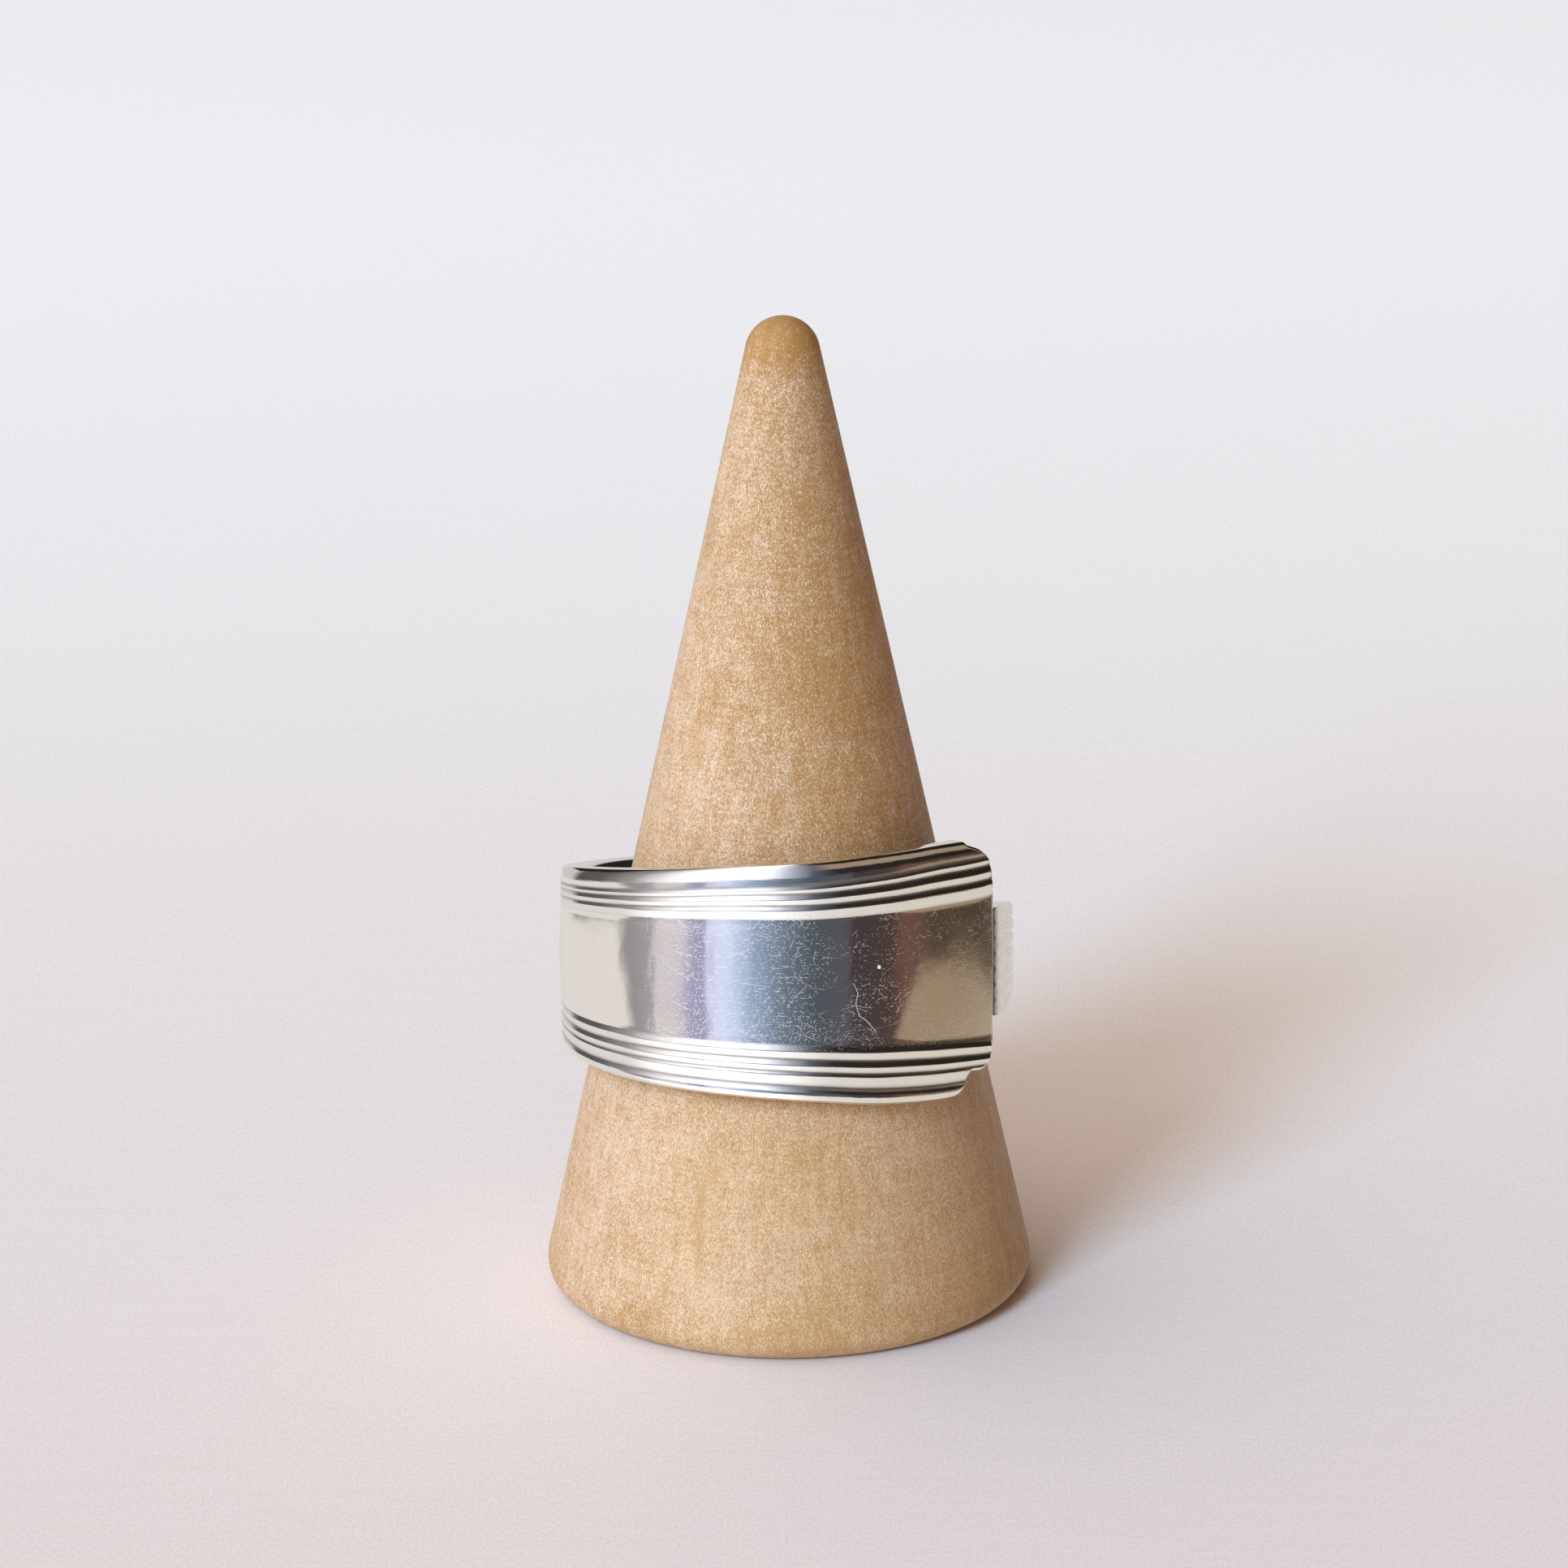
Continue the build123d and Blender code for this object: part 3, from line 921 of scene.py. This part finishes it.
def mirrored_zones(shader, direction):
    """Zones of light and dark that the metal mirrors, by how far round and how high they lie."""
    x, y, z = shader.split(direction)
    turn = x.math("ARCTAN2", x, y * -1.0) / tau + 0.5
    level = z + y * 0.1875 + 0.12
    above_horizon = level + 0.045
    facing = (turn - 0.5) * pi
    lean = above_horizon / facing.math("COSINE", facing).at_least(0.35)
    waver = turn + (shader.noise(direction, 13.0, 3.0, 0.6) - 0.5) * 0.035
    slant = above_horizon.at_least(-0.14).at_most(0.08) * 0.14 - 0.012

    def between(start, end):
        """0 before the first bearing and 1 past the second."""
        return turn.rise(round_share(start), round_share(end))

    def ramp(rows, place):
        stops = [(round_share(degrees), colour) for degrees, colour in rows]
        return shader.add("ShaderNodeValToRGB", {"stops": stops}, (place,))

    horizon = ramp(HORIZON, waver + slant * between(-74, -86))
    right_end = between(95, 134)
    brink = between(40, 73) * 0.233 - 0.25 - right_end * 0.045
    wall = shader.blend(NEAR_WALL, FAR_WALL, right_end)
    on_wall = (brink - level).rise(-0.014, 0.02) * between(36, 43.2) * between(134.64, 132.48)
    mirrored = shader.blend(horizon, wall, on_wall)
    mirrored = shader.blend(mirrored, ramp(GROUND, turn), lean.rise(-0.15, -0.19))
    high_wall = lean.rise(0.46, 0.50) * lean.rise(0.92, 0.86) * between(8, 26) * between(144, 133.2)
    above = shader.blend(ramp(CEILING, turn), HIGH_WALL, high_wall)
    right = between(18, 36) * between(167.4, 158.4) * lean.rise(0.88, 0.94)
    left = between(-167.4, -158.4) * between(-104.4, -113.4) * lean.rise(0.95, 1.0)
    above = shader.blend(above, OVERHEAD, right.at_least(left))
    return shader.blend(mirrored, above, lean.rise(0.16, 0.21))


def put_on_frame(piece, node, material):
    """Gives a finished piece its material and its place in the model."""
    piece.data.materials.clear()
    piece.data.materials.append(material)
    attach(piece, "root")
    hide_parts(node)


class SPOON_OT_add_ring(bpy.types.Operator):
    """Add the silver spoon ring."""

    bl_idname = "spoon.add_ring"
    bl_label = "Add spoon ring"

    def execute(self, context):
        sizes = context.scene.spoon_ring_sizes
        pieces = [band_piece(sizes), tongue_piece(sizes)]
        deselect_all()
        for piece in pieces:
            piece.select_set(True)
        context.view_layer.objects.active = pieces[0]
        bpy.ops.object.join()
        ring = context.view_layer.objects.active
        ring.name = ring.data.name = "silver_ring"
        bpy.ops.object.shade_smooth_by_angle(angle=radians(38))
        put_on_frame(ring, "spoon_ring", silver_material())
        return {"FINISHED"}


class SPOON_OT_add_cone(bpy.types.Operator):
    """Add the turned wooden cone."""

    bl_idname = "spoon.add_cone"
    bl_label = "Add ring cone"

    def execute(self, context):
        sizes = context.scene.spoon_cone_sizes
        centre = sizes.height - sizes.tip
        far = (sizes.radius**2 + centre**2) ** 0.5
        slope = np.arctan2(sizes.radius, centre) - np.arcsin(sizes.tip / far)
        deselect_all()
        bpy.ops.mesh.primitive_circle_add(
            vertices=BALL_STEPS, radius=sizes.tip, location=(0, 0, centre),
            rotation=(pi / 2, 0, 0),
        )
        cone = context.object
        cone.name = cone.data.name = "wooden_cone"
        bpy.ops.object.transform_apply(location=True, rotation=True, scale=True)
        mesh = cone.data
        touch = Vector((sizes.tip * cos(slope), 0, centre + sizes.tip * sin(slope)))
        select_points(cone, lambda place: place.x < -1e-7 or place.z < touch.z + 0.04 * MM)
        bpy.ops.mesh.delete(type="VERT")
        bpy.ops.object.mode_set(mode="OBJECT")
        start = max((vertex.co.copy() for vertex in mesh.vertices), key=lambda place: place.x)
        select_points(cone, lambda place: place == start)
        for move in self.outline(sizes, slope, touch, start):
            bpy.ops.mesh.extrude_region_move(TRANSFORM_OT_translate={"value": move})
        bpy.ops.mesh.select_all(action="SELECT")
        bpy.ops.mesh.spin(steps=TURN_STEPS, angle=tau, center=(0, 0, 0), axis=(0, 0, 1))
        bpy.ops.mesh.select_all(action="SELECT")
        bpy.ops.mesh.remove_doubles(threshold=1e-6)
        bpy.ops.mesh.normals_make_consistent(inside=False)
        bpy.ops.object.mode_set(mode="OBJECT")
        bpy.ops.object.shade_smooth_by_angle(angle=radians(40))
        put_on_frame(cone, "ring_cone", wood_material())
        return {"FINISHED"}

    @staticmethod
    def outline(sizes, slope, touch, start):
        """Moves from the ball of the tip down the side, round the foot and to the axis."""
        foot = sizes.foot_round
        reach = foot / np.tan((pi / 2 - slope) / 2)
        down = Vector((sin(slope), 0, -cos(slope)))
        corner = Vector((sizes.radius, 0, 0))
        side_end = corner - down * reach
        points = [touch.lerp(side_end, i / CONE_SIDE_STEPS) for i in range(CONE_SIDE_STEPS + 1)]
        centre = Vector((sizes.radius - reach, 0, foot))
        turn = pi / 2 + slope
        for i in range(1, FOOT_STEPS + 1):
            angle = slope - (turn * i / FOOT_STEPS)
            points.append(centre + Vector((cos(angle), 0, sin(angle))) * foot)
        points += [Vector((sizes.radius / 2, 0, 0)), Vector((0, 0, 0))]
        moves, here = [], start
        for point in points:
            moves.append(point - here)
            here = point
        return moves


class SPOON_OT_add_stage(bpy.types.Operator):
    """Add the floor, the soft light and the camera."""

    bl_idname = "spoon.add_stage"
    bl_label = "Add stage"

    def execute(self, context):
        deselect_all()
        bpy.ops.mesh.primitive_grid_add(
            x_subdivisions=8, y_subdivisions=8, size=4.0, location=(0, 0, 0)
        )
        floor = context.object
        floor.name = "floor"
        floor.data.materials.append(floor_material())
        floor.visible_glossy = False
        context.scene.view_settings.view_transform = "Standard"
        self.add_camera(context)
        self.add_window(context)
        self.paint_room(context)
        return {"FINISHED"}

    @staticmethod
    def add_camera(context):
        studio = context.scene.spoon_studio
        away = Vector((0, -cos(studio.elevation), sin(studio.elevation))) * studio.distance
        bpy.ops.object.camera_add(location=Vector(LOOK_AT) * MM + away)
        camera = context.object
        down = Matrix.Rotation(pi / 2 - studio.elevation, 3, "X")
        turn = Matrix.Rotation(radians(CAMERA_TURN), 3, "Z")
        camera.rotation_euler = (down @ turn).to_euler()
        camera.data.sensor_width = SENSOR_WIDTH
        camera.data.lens = LENS
        camera.data.clip_start = 10 * MM
        context.scene.camera = camera

    @staticmethod
    def add_window(context):
        place, aim = Vector(WINDOW_PLACE) * MM, Vector(WINDOW_AIM) * MM
        bpy.ops.object.light_add(type="AREA", location=place)
        window = context.object
        window.name = "window_light"
        window.rotation_euler = (aim - place).to_track_quat("-Z", "Y").to_euler()
        window.data.shape = "RECTANGLE"
        window.data.size, window.data.size_y = (side * MM for side in WINDOW_SIZE)
        window.data.energy = context.scene.spoon_studio.window
        window.data.color = WINDOW_COLOUR
        window.visible_camera = False
        window.visible_glossy = False

    @staticmethod
    def paint_room(context):
        """Soft light of the room, and the zones of light and dark that the metal mirrors."""
        world = bpy.data.worlds.new("room")
        world.use_nodes = True
        context.scene.world = world
        shader = Shader(world.node_tree)
        direction = shader.add("ShaderNodeTexCoord", None, (), "Generated")
        x = shader.split(direction)[0]
        lit = shader.blend(FILL_RIGHT, FILL_LEFT, x.rise(0.54, -0.42))

        def glow(colour, strength):
            values = {"Color": colour, "Strength": strength}
            return shader.add("ShaderNodeBackground", None, values)

        seen = shader.add("ShaderNodeLightPath", None, (), "Is Camera Ray")
        lights = (glow(lit, 1.08), glow(mirrored_zones(shader, direction), 1.0))
        mixed = shader.add("ShaderNodeMixShader", None, (seen.beside("Is Glossy Ray"), *lights))
        mixed = shader.add("ShaderNodeMixShader", None, (seen, mixed, glow((*BACKDROP, 1.0), 1.0)))
        shader.add("ShaderNodeOutputWorld", None, {"Surface": mixed})


class SPOON_PT_panel(bpy.types.Panel):
    """The parts of the spoon ring and their sizes."""

    bl_idname = "SPOON_PT_panel"
    bl_label = "Spoon ring"
    bl_space_type = "VIEW_3D"
    bl_region_type = "UI"
    bl_category = "Spoon ring"

    def draw(self, context):
        layout = self.layout
        for operator in OPERATORS:
            layout.operator(operator.bl_idname)
        for group in (
            context.scene.spoon_ring_sizes, context.scene.spoon_cone_sizes,
            context.scene.spoon_colours, context.scene.spoon_studio,
        ):
            box = layout.box()
            for name in group.bl_rna.properties.keys():
                if name not in ("rna_type", "name"):
                    box.prop(group, name)


GROUPS = {
    "spoon_ring_sizes": SPOON_PG_ring_sizes,
    "spoon_cone_sizes": SPOON_PG_cone_sizes,
    "spoon_colours": SPOON_PG_colours,
    "spoon_studio": SPOON_PG_studio,
}
OPERATORS = (SPOON_OT_add_ring, SPOON_OT_add_cone, SPOON_OT_add_stage)
CLASSES = (*GROUPS.values(), *OPERATORS, SPOON_PT_panel)


def register():
    for cls in CLASSES:
        bpy.utils.register_class(cls)
    for name, cls in GROUPS.items():
        setattr(bpy.types.Scene, name, PointerProperty(type=cls))


def unregister():
    for name in GROUPS:
        delattr(bpy.types.Scene, name)
    for cls in reversed(CLASSES):
        bpy.utils.unregister_class(cls)


def main():
    register()
    bpy.ops.spoon.add_ring()
    bpy.ops.spoon.add_cone()
    bpy.ops.spoon.add_stage()


if __name__ == "__main__":
    main()
